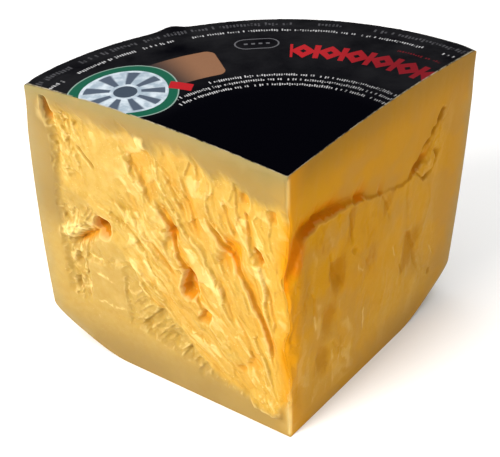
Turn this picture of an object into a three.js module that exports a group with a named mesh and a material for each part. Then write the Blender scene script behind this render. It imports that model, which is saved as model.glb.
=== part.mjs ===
// A wedge cut from a wheel of hard grating cheese, and the printed film label that was cut with it.
//
// The wheel has a dished top face, a bulging side and a broad rounded heel. Two knife cuts meet at
// the tip, a little past the wheel's axis. The knife was only driven in part of the way, so both
// cut faces are smooth along their borders and torn in the middle, where the paste split open.
//
// Millimetres. +Z is up, the tip points towards -Y and the rind faces +Y. The origin is the centre
// of the bounding box, at the level the wedge rests on.

import * as THREE from "three";
import { ParametricGeometry } from "three/addons/geometries/ParametricGeometry.js";
import { mergeGeometries, mergeVertices } from "three/addons/utils/BufferGeometryUtils.js";

// The wheel
const WHEEL_RADIUS = 125;
const TIP_PAST_AXIS = 6; // how far the tip lies in front of the wheel's axis
const TOP_LEVEL = 141; // the level that the top face's crown is measured down from
const CENTRE_DIP = 4.7; // the top face is dished by this much at the tip
const RIM_DROP = 5.3; // and falls by this much at the rim
const RIM_POWER = 2.4;
const SIDE_BULGE = 0.021; // the side's bulge at mid height, as a share of the radius
const EDGE_ROUND = 1.6; // the rounded edge between the top face and the side

// The heel, as points (run, z) on an upright cut face of nominal length
const FACE_LENGTH = 129;
const FOOT_END = 88; // the flat that the wedge stands on
const FOOT_TANGENT = 97.5;
const HEEL_MIDDLE = new THREE.Vector2(113, 7.4);
const HEEL_TANGENT_Z = 14.8;
const HEEL_TOP = 19;

// The two cuts
const HALF_ANGLE = THREE.MathUtils.degToRad(48.3);
const TIP = new THREE.Vector2(0.8, -66.9); // the tip's place in the frame, at the top
const FOOT_SHIFT = new THREE.Vector2(2.4, 0.3); // how far the upright tip edge has leaned at its foot
const LEFT_FLARE = 2.8; // how far the left cut has drifted outwards at the heel
const RIGHT_FLARE = -1.4;

// The label
const FILM_THICKNESS = 0.4;
const FILM_GAP = 0.3;
const FILM_DROOP = 0.5; // how far the film's free edge hangs over the rounded rim
const FILM_PULLBACK = 0.025; // how far the film's two outer corners have shrunk back, as a share
const PULLBACK_START = 0.93;

// How finely the surfaces are stepped
const RUN_STEPS = 24;
const HEIGHT_STEPS = 24;
const TURN_STEPS = 18;

const { clamp, lerp, smoothstep } = THREE.MathUtils;

// ---------------------------------------------------------------- the wheel's surfaces

// The direction of the upright half-plane at a turn from -1, the left cut, to 1, the right cut.
function heading(turn) {
  const angle = turn * HALF_ANGLE;
  return new THREE.Vector2(Math.sin(angle), Math.cos(angle));
}

// How far it is from the tip to the wheel's nominal circle in that direction.
function rimDistance(turn) {
  const along = heading(turn).y * TIP_PAST_AXIS;
  return along + Math.sqrt(along ** 2 + WHEEL_RADIUS ** 2 - TIP_PAST_AXIS ** 2);
}

function topLevel(share) {
  return TOP_LEVEL - RIM_DROP * share ** RIM_POWER - CENTRE_DIP * (1 - share) ** 2;
}

// A point of the wheel, from its share of the way to the rim and its height. The leaning of the
// tip edge and the drift of the cuts grow towards the foot.
function wheelPoint(turn, share, z) {
  const out = heading(turn);
  const across = new THREE.Vector2(out.y, -out.x);
  const low = 1 - z / TOP_LEVEL;
  const flare = lerp(-LEFT_FLARE, RIGHT_FLARE, (turn + 1) / 2);
  const flat = out
    .multiplyScalar(share * rimDistance(turn))
    .addScaledVector(FOOT_SHIFT, low * (1 - share))
    .addScaledVector(across, low * share * flare)
    .add(TIP);
  return new THREE.Vector3(flat.x, flat.y, z);
}

const SIDE_SWELL = (z) => (4 * SIDE_BULGE * z * (TOP_LEVEL - z)) / TOP_LEVEL ** 2;
const TOP_RUN = FACE_LENGTH - EDGE_ROUND;
const RIM_LEVEL = topLevel(1);

// The underside, from the tip along the flat foot to the middle of the heel.
const underside = new THREE.Path()
  .moveTo(0, 0)
  .lineTo(FOOT_END, 0)
  .quadraticCurveTo(FOOT_TANGENT, 0, HEEL_MIDDLE.x, HEEL_MIDDLE.y);

// The side, from the middle of the heel up the bulging rind and over the rounded rim.
const side = sidePath();

function sidePath() {
  const path = new THREE.Path().moveTo(HEEL_MIDDLE.x, HEEL_MIDDLE.y);
  const swollen = (z) => FACE_LENGTH * (1 + SIDE_SWELL(z));
  path.quadraticCurveTo(swollen(HEEL_TANGENT_Z), HEEL_TANGENT_Z, swollen(HEEL_TOP), HEEL_TOP);
  const wallTop = RIM_LEVEL - EDGE_ROUND;
  const wall = [0.2, 0.4, 0.6, 0.8, 1].map((t) => {
    const z = lerp(HEEL_TOP, wallTop, t);
    return new THREE.Vector2(t < 1 ? swollen(z) : FACE_LENGTH, z);
  });
  path.splineThru(wall);
  path.quadraticCurveTo(FACE_LENGTH, RIM_LEVEL, TOP_RUN, RIM_LEVEL);
  return path;
}

// ---------------------------------------------------------------- the torn middle of the cut faces

// The value at x of a line drawn through a few points.
function along(points, x) {
  const last = points.length - 1;
  const i = clamp(points.findIndex((p) => p[0] > x) - 1, 0, last - 1);
  const from = x >= points[last][0] ? last - 1 : i;
  const [x0, y0] = points[from];
  const [x1, y1] = points[from + 1];
  return lerp(y0, y1, clamp((x - x0) / (x1 - x0), 0, 1));
}

// A smooth round hollow: 1 at its middle, 0 at its border.
function hollow(run, z, [atRun, atZ, halfWidth, halfHeight]) {
  const reach = ((run - atRun) / halfWidth) ** 2 + ((z - atZ) / halfHeight) ** 2;
  return Math.exp(-reach);
}

// How far the left face stands out of its cut plane, at a run along the face and a height.
const LEFT_TEAR_TOP = [[0, 118], [18, 121], [38, 127], [70, 130], [118, 130]];
const LEFT_TEAR_FOOT = [[0, 17], [8, 8], [20, 12], [40, 17], [60, 22], [80, 27], [118, 30]];
const LEFT_TEAR_END = 120;
const LEFT_TEAR_DEPTH = 1.8;
const LEFT_HOLLOWS = [
  { at: [30, 88, 9, 16], depth: 2.6 },
  { at: [57, 84, 6, 15], depth: 1.8 },
  { at: [50, 62, 6, 8], depth: 2.6 },
  { at: [97, 76, 8, 6], depth: 2.4 },
  { at: [112, 47, 6, 12], depth: 1.2 },
];
const LEFT_PLATEAU = { at: [95, 44, 14, 16], rise: 1.2 };

function leftRelief(run, z) {
  const torn =
    smoothstep(along(LEFT_TEAR_TOP, run) - z, 0, 12) *
    smoothstep(z - along(LEFT_TEAR_FOOT, run), 0, 7) *
    smoothstep(LEFT_TEAR_END - run, 0, 6);
  let depth = LEFT_TEAR_DEPTH - LEFT_PLATEAU.rise * hollow(run, z, LEFT_PLATEAU.at);
  for (const dent of LEFT_HOLLOWS) depth += dent.depth * hollow(run, z, dent.at);
  return -torn * depth;
}

// The right face slopes inwards from its smooth top to a scarp, under which a ledge of paste that
// stayed with the wedge stands out again.
const SCARP = [[0, 101], [10, 103], [20, 106], [40, 104], [60, 98], [80, 92], [92, 93], [110, 99]];
const SCARP_DEPTH = [[0, 5.2], [12, 4.6], [40, 4], [60, 3], [85, 2], [104, 0]];
const SCARP_SLOPE = 24; // the height over which the face slopes in
const LEDGE_WIDTH = 4;
const RIGHT_TEAR_FOOT = 12;
const LEDGE_DEPTH = 0.9;
const RIGHT_HOLLOWS = [
  { at: [0, 45, 7, 18], depth: 3.4 },
  { at: [30, 71, 6, 11], depth: 1.6 },
  { at: [27, 46, 7, 13], depth: 1.6 },
  { at: [89, 47, 6, 15], depth: 1.8 },
  { at: [98, 90, 6, 7], depth: 1.4 },
];

function rightRelief(run, z) {
  const over = z - along(SCARP, run);
  const deep = along(SCARP_DEPTH, run);
  if (over >= 0) return -deep * smoothstep(SCARP_SLOPE - over, 0, SCARP_SLOPE);
  const end = smoothstep(118 - run, 0, 14);
  let depth = LEDGE_DEPTH;
  for (const dent of RIGHT_HOLLOWS) depth += dent.depth * hollow(run, z, dent.at);
  const ledge = depth * end * smoothstep(z, RIGHT_TEAR_FOOT, RIGHT_TEAR_FOOT + 14);
  return -lerp(deep, ledge, smoothstep(-over, 0, LEDGE_WIDTH));
}

// The push on a point of a cut face: its own relief, and near the tip the other face's relief too,
// so that both faces carry the broken tip edge along.
const TIP_BAND = 10;

function reliefPush(onRight, run, z) {
  const [cos, sin] = [Math.cos(HALF_ANGLE), Math.sin(HALF_ANGLE)];
  const leftOut = new THREE.Vector3(-cos, -sin, 0);
  const rightOut = new THREE.Vector3(cos, -sin, 0);
  const fade = 1 - smoothstep(run, 0, TIP_BAND);
  const left = onRight ? leftRelief(0, z) * fade : leftRelief(run, z);
  const right = onRight ? rightRelief(run, z) : rightRelief(0, z) * fade;
  return leftOut.multiplyScalar(left).addScaledVector(rightOut, right);
}

// ---------------------------------------------------------------- the solids

// A point (run, z) of one of the outline's paths, at a turn.
function outlinePoint(path, t, turn, target) {
  const p = path.getPointAt(t);
  return target.copy(wheelPoint(turn, p.x / FACE_LENGTH, p.y));
}

function crownPoint(t, turn, target) {
  return target.copy(wheelPoint(turn, (t * TOP_RUN) / FACE_LENGTH, topLevel(t)));
}

// A cut face's point, spread between its four borders: the tip edge, the underside, the side and
// the crown.
function cutPoint(turn, u, v, target) {
  const foot = underside.getPointAt(u);
  const wall = side.getPointAt(v);
  const crown = new THREE.Vector2(u * TOP_RUN, topLevel(u));
  const tipTop = topLevel(0);
  const corner = HEEL_MIDDLE;
  const rim = new THREE.Vector2(TOP_RUN, RIM_LEVEL);
  const spread = (a) => {
    const tip = a === "x" ? 0 : v * tipTop;
    const tipCorner = a === "x" ? 0 : tipTop;
    const borders = (1 - v) * foot[a] + v * crown[a] + (1 - u) * tip + u * wall[a];
    const corners = (1 - v) * u * corner[a] + (1 - u) * v * tipCorner + u * v * rim[a];
    return borders - corners;
  };
  const [run, z] = [spread("x"), spread("y")];
  target.copy(wheelPoint(turn, run / FACE_LENGTH, z));
  const inside = smoothstep(v, 0, 0.04) * smoothstep(1 - v, 0, 0.04) * smoothstep(1 - u, 0, 0.04);
  return target.addScaledVector(reliefPush(turn > 0, run, z), inside);
}

// Patches joined into one closed surface with shared vertices, without the slivers at the tip.
function closedSurface(patches) {
  for (const patch of patches) {
    patch.deleteAttribute("normal");
    patch.deleteAttribute("uv");
  }
  const joined = mergeVertices(mergeGeometries(patches), 1e-3);
  const kept = [];
  for (let i = 0; i < joined.index.count; i += 3) {
    const [a, b, c] = [0, 1, 2].map((k) => joined.index.getX(i + k));
    if (a !== b && b !== c && c !== a) kept.push(a, b, c);
  }
  joined.setIndex(kept);
  joined.computeVertexNormals();
  return joined;
}

function cheeseGeometry() {
  const turnOf = (t) => lerp(-1, 1, t);
  return closedSurface([
    new ParametricGeometry((u, v, p) => cutPoint(-1, 1 - u, v, p), RUN_STEPS, HEIGHT_STEPS),
    new ParametricGeometry((u, v, p) => cutPoint(1, u, v, p), RUN_STEPS, HEIGHT_STEPS),
    new ParametricGeometry((u, v, p) => outlinePoint(side, v, turnOf(1 - u), p), TURN_STEPS, HEIGHT_STEPS),
    new ParametricGeometry((u, v, p) => outlinePoint(underside, v, turnOf(1 - u), p), TURN_STEPS, RUN_STEPS),
    new ParametricGeometry((u, v, p) => crownPoint(v, turnOf(u), p), TURN_STEPS, RUN_STEPS),
  ]);
}

// The film lies just over the crown and reaches past the rounded rim, except at its two corners.
function filmPoint(t, turn, height, target) {
  const corner = smoothstep(Math.abs(turn), PULLBACK_START, 1);
  const share = t * (1 - FILM_PULLBACK * corner);
  const z = topLevel(share) - FILM_DROOP * smoothstep(share, 0.96, 1);
  return target.copy(wheelPoint(turn, share, z)).setZ(z + FILM_GAP + height * FILM_THICKNESS);
}

function filmGeometry() {
  const turnOf = (t) => lerp(-1, 1, t);
  return closedSurface([
    new ParametricGeometry((u, v, p) => filmPoint(v, turnOf(u), 1, p), TURN_STEPS, RUN_STEPS),
    new ParametricGeometry((u, v, p) => filmPoint(v, turnOf(1 - u), 0, p), TURN_STEPS, RUN_STEPS),
    new ParametricGeometry((u, v, p) => filmPoint(1, turnOf(1 - u), v, p), TURN_STEPS, 1),
    new ParametricGeometry((u, v, p) => filmPoint(1 - u, -1, v, p), RUN_STEPS, 1),
    new ParametricGeometry((u, v, p) => filmPoint(u, 1, v, p), RUN_STEPS, 1),
  ]);
}

// ---------------------------------------------------------------- the wedge

const paste = new THREE.MeshStandardMaterial({ color: 0xe3b765, roughness: 0.6, metalness: 0 });
const film = new THREE.MeshStandardMaterial({ color: 0x121214, roughness: 0.35, metalness: 0 });

function part(name, geometry, material) {
  const mesh = new THREE.Mesh(geometry, material);
  mesh.name = name;
  return mesh;
}

const wedge = new THREE.Group();
wedge.add(part("cheese_wedge", cheeseGeometry(), paste));
wedge.add(part("top_label", filmGeometry(), film));

export default wedge;
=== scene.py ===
"""A wedge of hard grating cheese, and the printed film label that was cut with it.

Shapes are worked out in millimetres in the CAD frame, and turned into metres when a mesh is made.
On a cut face, run is the distance from the tip and z is the height above the base.
"""

import math

import bpy
import numpy as np
from mathutils import Matrix, Vector


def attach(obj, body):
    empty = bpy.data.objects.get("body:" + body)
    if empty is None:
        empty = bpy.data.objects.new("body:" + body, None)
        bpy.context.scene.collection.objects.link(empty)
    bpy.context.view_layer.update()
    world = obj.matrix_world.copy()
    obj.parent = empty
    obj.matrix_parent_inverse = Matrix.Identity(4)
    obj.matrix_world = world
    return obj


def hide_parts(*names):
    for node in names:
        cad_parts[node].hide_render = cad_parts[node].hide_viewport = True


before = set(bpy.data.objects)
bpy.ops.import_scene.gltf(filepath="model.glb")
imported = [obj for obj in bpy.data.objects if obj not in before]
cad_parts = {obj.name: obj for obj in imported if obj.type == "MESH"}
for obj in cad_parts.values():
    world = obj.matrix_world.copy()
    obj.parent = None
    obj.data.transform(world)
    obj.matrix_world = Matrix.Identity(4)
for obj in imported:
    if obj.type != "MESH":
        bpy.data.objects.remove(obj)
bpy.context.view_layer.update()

MM = 0.001

# The wheel and the two cuts, as in the CAD model
WHEEL_RADIUS = 125.0
TIP_PAST_AXIS = 6.0
TOP_LEVEL = 141.0
CENTRE_DIP = 4.7
RIM_DROP = 5.3
RIM_POWER = 2.4
SIDE_BULGE = 0.021
EDGE_ROUND = 1.6
FACE_LENGTH = 129.0
FOOT_END = 88.0
FOOT_TANGENT = 97.5
HEEL_MIDDLE = (113.0, 7.4)
HEEL_TANGENT_Z = 14.8
HEEL_TOP = 19.0
HALF_ANGLE = math.radians(48.3)
TIP = (0.8, -66.9)
FOOT_SHIFT = (2.4, 0.3)
LEFT_FLARE = 2.8
RIGHT_FLARE = -1.4
TOP_RUN = FACE_LENGTH - EDGE_ROUND

# How finely the cheese is stepped before it is thinned
RUN_STEPS = 340
HEIGHT_STEPS = 370
TURN_STEPS = 120
MOST_FACES = 195_000
WELD = 2e-3  # points this close, in millimetres, become one
SHARP_EDGE = math.radians(32)


# ------------ numbers and noise


def lerp(a, b, t):
    return a + (b - a) * t


def smooth(low, high, x):
    t = np.clip((x - low) / (high - low), 0, 1)
    return t * t * (3 - 2 * t)


def along(points, x):
    """The value at x of a line drawn through a few points."""
    return np.interp(x, [p[0] for p in points], [p[1] for p in points])


def scatter(ix, iy, seed):
    """A repeatable number from 0 to 1 for each pair of whole numbers."""
    mixed = (ix * 374761393 + iy * 668265263 + seed * 974634777) & 0xFFFFFFFF
    for shift in (13, 15):
        mixed = ((mixed ^ (mixed >> shift)) * 1274126177) & 0xFFFFFFFF
    return ((mixed ^ (mixed >> 16)) & 0xFFFFFF) / 0x1000000


def ripple(x, y, seed):
    """Smooth noise, mostly between -1 and 1, with a wavelength of about 1."""
    ix, iy = np.floor(x).astype(int), np.floor(y).astype(int)
    fx, fy = x - ix, y - iy
    ease_x, ease_y = smooth(0, 1, fx), smooth(0, 1, fy)

    def slope(jx, jy):
        angle = 2 * np.pi * scatter(ix + jx, iy + jy, seed)
        return np.cos(angle) * (fx - jx) + np.sin(angle) * (fy - jy)

    low = lerp(slope(0, 0), slope(1, 0), ease_x)
    high = lerp(slope(0, 1), slope(1, 1), ease_x)
    return 1.6 * lerp(low, high, ease_y)


def grain(x, y, seed, octaves=3):
    """Ripples of falling wavelength and height, added up."""
    return sum(ripple(x * 2**k, y * 2**k, seed + k) / 2**k for k in range(octaves))


def shards(x, y, seed):
    """For each point, its offset (dx, dy) from the nearest of many strewn centres, about one to a
    unit square, and two random numbers of that centre."""
    ix, iy = np.floor(x).astype(int), np.floor(y).astype(int)
    best, found = np.full(x.shape, 99.0), np.zeros((4, *x.shape))
    for jx in (-1, 0, 1):
        for jy in (-1, 0, 1):
            cx, cy = ix + jx, iy + jy
            lots = [scatter(cx, cy, seed + k) for k in range(4)]
            to_x, to_y = x - cx - 0.1 - 0.8 * lots[0], y - cy - 0.1 - 0.8 * lots[1]
            away = to_x**2 + to_y**2
            nearer = away < best
            best = np.where(nearer, away, best)
            found = np.where(nearer, np.stack([to_x, to_y, lots[2], lots[3]]), found)
    return found


def flakes(x, y, seed, rise, lean):
    """Flat plates at random heights, each standing higher towards smaller x, as shingles do."""
    dx, dy, lot, twist = shards(x, y, seed)
    return rise * (lot - 0.5) - lean * (0.4 + 1.2 * twist) * dx + 1.6 * lean * (lot - 0.5) * dy


def facet_tone(x, y, seed):
    """How light each of the flakes looks, from -0.5 to 0.5."""
    return shards(x, y, seed)[2] - 0.5


def plates(across, lengthwise, seed, high):
    """Long plates side by side. Each rises towards smaller across and then drops to the next one,
    and stands out only in stretches of its length."""
    index = np.floor(across)
    rise = 1 - (across - index)
    stretch = smooth(-0.25, 0.75, ripple(lengthwise + 0.37 * index, 5.3 * index, seed))
    return high * stretch * rise**1.8


def blurred(field, cells):
    """The field averaged over a square of 2 * cells + 1 grid points."""
    width = 2 * cells + 1
    for axis in (0, 1):
        pads = [(cells + 1, cells) if k == axis else (0, 0) for k in (0, 1)]
        total = np.cumsum(np.pad(field, pads, mode="edge"), axis=axis)
        count = field.shape[axis]
        high = np.take(total, range(width, width + count), axis=axis)
        low = np.take(total, range(count), axis=axis)
        field = (high - low) / width
    return field


def softened(field):
    """The field with each grid point moved halfway to its neighbours' average."""
    for axis in (0, 1):
        wide = np.pad(field, [(1, 1) if k == axis else (0, 0) for k in (0, 1)], mode="edge")
        count = field.shape[axis]
        before = np.take(wide, range(count), axis=axis)
        after = np.take(wide, range(2, count + 2), axis=axis)
        field = 0.5 * field + 0.25 * (before + after)
    return field


# ------------ marks on a torn face
#
# A crack is (points from the top down, depth, reach). A pit, a lump or a patch is (place, half
# sizes, depth or strength, turn in degrees, edge).


def crack(run, z, points, depth, reach, lip=0.7):
    """A crack down a line of points. The paste on its rind side ends in a steep lip, and on its tip
    side it rises again over the reach."""
    lengths = [math.dist(a, b) for a, b in zip(points, points[1:])]
    whole = sum(lengths)
    nearest = np.full(run.shape, 1e6)
    side = np.zeros(run.shape)
    place = np.zeros(run.shape)
    start = 0.0
    for (a, b), length in zip(zip(points, points[1:]), lengths):
        along_x, along_z = (b[0] - a[0]) / length, (b[1] - a[1]) / length
        at = np.clip((run - a[0]) * along_x + (z - a[1]) * along_z, 0, length)
        off_x, off_z = run - a[0] - at * along_x, z - a[1] - at * along_z
        away = np.hypot(off_x, off_z)
        nearer = away < nearest
        nearest = np.where(nearer, away, nearest)
        side = np.where(nearer, along_z * off_x - along_x * off_z, side)
        place = np.where(nearer, (start + at) / whole, place)
        start += length
    taper = smooth(0, 0.2, place) * smooth(0, 0.2, 1 - place)
    width = np.where(side > 0, reach, lip)
    return depth * taper * np.clip(1 - nearest / width, 0, 1) ** 1.6


def pit(run, z, at, size, depth, turn=0.0, edge=0.5):
    """A hollow with rounded corners. Its wall takes up the outer share, edge, of its size."""
    cos, sin = math.cos(math.radians(turn)), math.sin(math.radians(turn))
    off_x, off_z = run - at[0], z - at[1]
    across = np.abs(off_x * cos + off_z * sin) / size[0]
    up = np.abs(off_z * cos - off_x * sin) / size[1]
    return depth * (1 - smooth(1 - edge, 1, np.cbrt(across**3 + up**3)))


def ragged(run, z, seed, coarse=1.0, fine=1.0):
    """The same place, moved by a step that differs from cell to cell, so that what is drawn there
    breaks into straight, angular borders."""
    _, _, far_x, far_z = shards(run / 5.0, z / 10.0, seed)
    _, _, near_x, near_z = shards(run / 1.6, z / 2.8, seed + 7)
    swing_x, swing_z = (1.2 * ripple(run / 13, z / 13, seed + k) for k in (1, 5))
    moved_x = coarse * (2.4 * (far_x - 0.5) + swing_x) + fine * (near_x - 0.5)
    moved_z = coarse * (4.0 * (far_z - 0.5) + swing_z) + 1.5 * fine * (near_z - 0.5)
    return run + moved_x, z + moved_z


def wavering(run, z, seed, amount=1.0):
    """The same place, moved a little this way and that, so that a line drawn there wavers."""
    moved_x, moved_z = (
        0.8 * ripple(run / 9, z / 9, k) + 0.35 * ripple(run / 3, z / 3, k + 1)
        for k in (seed, seed + 2)
    )
    return run + amount * moved_x, z + amount * moved_z


def crumbs(run, z, seed):
    """Broken grains of a few sizes, between about -1 and 1."""
    coarse = flakes(run / 3.4, z / 3.4, seed, 0.9, 1.1)
    fine = flakes(run / 1.3, z / 1.3, seed + 7, 0.6, 0.5)
    return coarse + fine


def splinters(run, z, turn, seed):
    """Short ridges that lean that many degrees from upright, towards the tip as they rise: their
    height and their tone."""
    cos, sin = math.cos(math.radians(turn)), math.sin(math.radians(turn))
    across, lengthwise = run * cos + z * sin, z * cos - run * sin
    coarse, fine = (across / 2.2, lengthwise / 7.5), (across / 1.2, lengthwise / 3.5)
    height = flakes(*coarse, seed, 0.9, 0.7) + flakes(*fine, seed + 7, 0.45, 0.4)
    return height, facet_tone(*coarse, seed) + facet_tone(*fine, seed + 7)


# ------------ the left face

# Where the torn part ends above and below, as (run, z)
TEAR_TOP = [(0, 121), (18, 125), (38, 129), (70, 132), (118, 132)]
TEAR_FOOT = [(0, 17), (8, 9), (20, 11), (35, 15), (45, 17), (60, 21), (80, 26), (118, 29)]
TEAR_END = 120  # how far from the tip it ends, beside the rind
# Chips fan out from a pivot near the foot of the tip, and cover the torn part above this line
FAN_PIVOT = (-5, -8)
FAN_FOOT = [(0, 0), (18, 8), (35, 15), (45, 22), (60, 37), (75, 47), (80, 58), (100, 82), (122, 96)]
PLATEAU = [(83, 59), (109, 57), (107, 27), (82, 27)]  # corners of the smooth flat patch
LEFT_CALM = [  # other smoother patches
    ((92, 104), (15, 24), 1, 0, 0.8),
    ((92, 66), (13, 10), 1, 0, 0.6),
    ((110, 88), (10, 12), 0.8, 0, 0.6),
]

LEFT_CRACKS = [
    ([(68, 104), (63, 98), (60, 89), (57, 79), (53, 69), (49, 58), (43, 47)], 2.8, 9),
    ([(42, 108), (37, 96), (31, 87), (24, 79), (19, 69), (15, 57), (10, 44), (7, 32)], 2.7, 8),
    ([(21, 113), (19, 100), (17, 90)], 1.8, 5),
    ([(70, 79), (64, 71), (57, 63)], 1.4, 3),
    ([(50, 112), (47, 100), (44, 90)], 1.3, 5),
    ([(60, 118), (54, 106), (50, 97)], 1.2, 5),
    ([(80, 120), (74, 112), (69, 104)], 1.2, 6),
    ([(31, 114), (28, 103), (25, 96)], 1.4, 4),
    ([(12, 82), (9, 66), (7, 54)], 1.2, 4),
    ([(36, 76), (31, 62), (28, 50)], 1.1, 5),
    ([(28, 60), (22, 45), (18, 33)], 1, 4),
    ([(106, 113), (100, 109), (95, 104)], 2.2, 2),
    ([(106, 56), (107, 45), (105, 34)], 1.3, 2),
]
LEFT_PITS = [
    ((50.5, 62), (4, 9), 6, 12, 0.4),
    ((28, 89), (7, 11), 2.8, 20, 0.8),
    ((43, 48), (3, 5.5), 3, 20, 0.6),
    ((15, 92), (2.6, 5), 2.8, 5, 0.6),
    ((58, 84), (3.4, 9), 2.4, 14, 0.8),
    ((95.5, 75), (5.4, 5.6), 9, 12, 0.3),
    ((8, 115), (2.8, 4), 2, 0, 0.6),
    ((20, 117), (2.5, 5), 1.4, 5, 0.7),
    ((18, 33), (3.6, 4.5), 1.8, 20, 0.7),
    ((24, 28), (2.6, 3), 1.5, 30, 0.7),
    ((119.5, 127), (2.4, 7), 8, -6, 0.6),
    ((112, 125), (2.6, 4.5), 1.6, 0, 0.6),
    ((113, 36), (2.4, 5), 2.4, 0, 0.6),
    ((112, 50), (3, 6), 2.6, 10, 0.6),
    ((107, 97), (5, 4.5), 1.6, 0, 0.8),
    ((67, 38), (3.6, 7.5), 2.2, 38, 0.8),
    ((74, 30), (2.8, 6.5), 2, 38, 0.8),
    ((61, 28), (3.2, 6), 1.6, 38, 0.8),
    ((52, 23), (2.6, 5.5), 1.8, 35, 0.8),
    ((44, 18), (2.4, 5), 2, 35, 0.8),
]
LEFT_LUMPS = [
    ((112, 68), (6, 11), 2.8, 50, 0.7),
    ((106, 76), (5, 7), 1.6, 50, 0.8),
    ((69, 127), (3.6, 5), 1.6, 0, 0.7),
    ((12, 13.5), (9.5, 5), 2.4, 8, 0.4),
    ((13, 28), (3, 12), 1, 8, 0.9),
    ((30, 33), (9, 8), 1.2, 30, 0.9),
    ((66, 95), (4.5, 12), 1, 25, 0.8),
    ((36, 84), (3.5, 12), 1, 25, 0.8),
]
LEFT_SHADE_GLOW = [  # where the hollows are painted with an orange glow and shade
    ((103, 68), (9, 17), 0.9, 50, 0.5),
    ((95.5, 75), (9, 9), 1, 0, 0.4),
    ((119, 126), (5, 9), 0.9, 0, 0.5),
]
# Painted highlights on two raised chips
CHIP_HIGHLIGHTS = [
    ((69, 127), (3, 5), 0.8, 10, 0.5),
    ((62, 109), (2.4, 3), 0.6, 10, 0.5),
]
# Painted highlight on the raised lump beside the squarish hole
LUMP_HIGHLIGHT = ((112, 68), (7, 12), 0.6, 50, 0.8)
GROOVE = [(96, 73), (105, 66), (117, 57)]  # runs from the squarish hole towards the rind
# Pale lines: painted highlights along the plateau's top and rind-side borders, and two faint
# scratches inside it
EDGE_HIGHLIGHTS_AND_SCRATCHES = [
    [(107, 57), (96, 56)],
    [(107, 52), (106, 43), (106, 35)],
    [(104, 31), (98, 33), (92, 32), (84, 33)],
    [(102, 49), (90, 45)],
]
SPLINTER_TURN = 42  # how far the slanted ridges lean, in degrees
CORNER_Z = (94, 104)  # from here up, the rind's side is rougher


def inside_outline(run, z, corners):
    """How far inside a convex outline each place is."""
    middle = np.mean(corners, axis=0)
    depth = np.full(run.shape, 1e6)
    for a, b in zip(corners, corners[1:] + corners[:1]):
        length = math.dist(a, b)
        off = ((b[0] - a[0]) * (z - a[1]) - (b[1] - a[1]) * (run - a[0])) / length
        facing = (b[0] - a[0]) * (middle[1] - a[1]) - (b[1] - a[1]) * (middle[0] - a[0])
        depth = np.minimum(depth, off * math.copysign(1, facing))
    return depth


def fan_place(run, z):
    """The direction from the fan's pivot, from 0 straight up, and the distance from it."""
    off_x, off_z = run - FAN_PIVOT[0], z - FAN_PIVOT[1]
    return np.arctan2(off_x, off_z), np.hypot(off_x, off_z)


def chips(run, z, calm):
    """Long chips of paste that fan out from the pivot, each lifted along its tip side: their height
    and their tone."""
    angle, radius = fan_place(*ragged(run, z, 180, 0.6, 0.15))
    around = angle + 0.05 * ripple(angle * 5, radius / 34, 170)
    around = around + 0.02 * ripple(angle * 13, radius / 15, 174)
    far = smooth(60, 120, radius)
    rough = smooth(-0.1, 0.8, ripple(angle * 6, radius / 24, 172)) * (1 - calm)

    shift = 0.5 * ripple(angle * 9, radius / 12, 175)
    height = plates(around * 10, radius / 38, 110, 1.7)
    height += plates(around * 24 + shift, radius / 15, 120, 0.8)
    height += flakes(around * 15, radius / 9, 130, 0.6, 0.6) * (0.7 + 0.3 * far)
    height += flakes(around * 27, radius / 13, 137, 0.4, 0.4) * far
    height += flakes(around * 44, radius / 4.5, 133, 0.3, 0.2) * (0.2 + 0.8 * rough)
    height += 0.4 * grain(angle * 12, radius / 20, 135) - 0.8

    tone = 0.9 * facet_tone(around * 15, radius / 9, 130)
    tone += 0.7 * facet_tone(around * 44, radius / 4.5, 133)
    tone += 0.6 * facet_tone(around * 20, radius / 18, 136)
    return height * (1 - 0.8 * calm), tone * (1 - 0.7 * calm)


def left_zones(run, z):
    """The ragged place that the zones are drawn at, and how far each place is torn, in the fan, on
    the plateau and in a calm patch."""
    x, y = ragged(run, z, 100, 0.7, 0.7)
    angle, radius = fan_place(x, y)
    streak = 4 * ripple(angle * 18, radius / 60, 140) + 1.5 * ripple(angle * 50, radius / 40, 141)
    torn = smooth(0, 9, along(TEAR_TOP, x) + streak + 1.5 - z)
    torn = torn * smooth(0, 4, y - along(TEAR_FOOT, x)) * smooth(0, 4, TEAR_END - x)
    fan = smooth(-1, 2.5, y - along(FAN_FOOT, x))
    plateau = smooth(0, 3, inside_outline(x, y, PLATEAU))
    calm = np.maximum(plateau, 0.6 * (1 - smooth(6, 13, x)))
    for patch in LEFT_CALM:
        calm = np.maximum(calm, pit(x, y, *patch))
    return x, y, torn, fan, plateau, calm


def left_marks(run, z, torn, broken):
    """What the single marks add to the left face's height, and how deep its cracks are."""
    line = wavering(run, z, 190)
    cracks = sum(crack(*line, *mark) for mark in LEFT_CRACKS)
    height = -torn * (cracks + crack(*line, GROOVE, 4.2, 3.0, 5))
    height += sum(pit(*line, *lump) for lump in LEFT_LUMPS) * (0.9 + 0.15 * broken)
    edge = wavering(run, z, 195, 1.6)
    height -= sum(pit(*edge, *hollow) for hollow in LEFT_PITS) * np.maximum(torn, 0.6)
    return height, cracks


def left_lights(run, z):
    """What the painted highlights on raised chips, on a lump and along the plateau's borders, two
    faint scratches and the darker band along the top add to the tone.
    """
    line, edge = wavering(run, z, 190), wavering(run, z, 195, 1.6)
    tone = pit(run, z, *LUMP_HIGHLIGHT) + sum(pit(*edge, *chip) for chip in CHIP_HIGHLIGHTS)
    tone += sum(crack(*line, points, 1.1, 0.9, 0.9) for points in EDGE_HIGHLIGHTS_AND_SCRATCHES)
    tone -= 0.35 * smooth(110, 124, z) * smooth(75, 35, run)
    return tone - 0.3 * smooth(124, 134, z) * smooth(40, 2, run)


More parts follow.
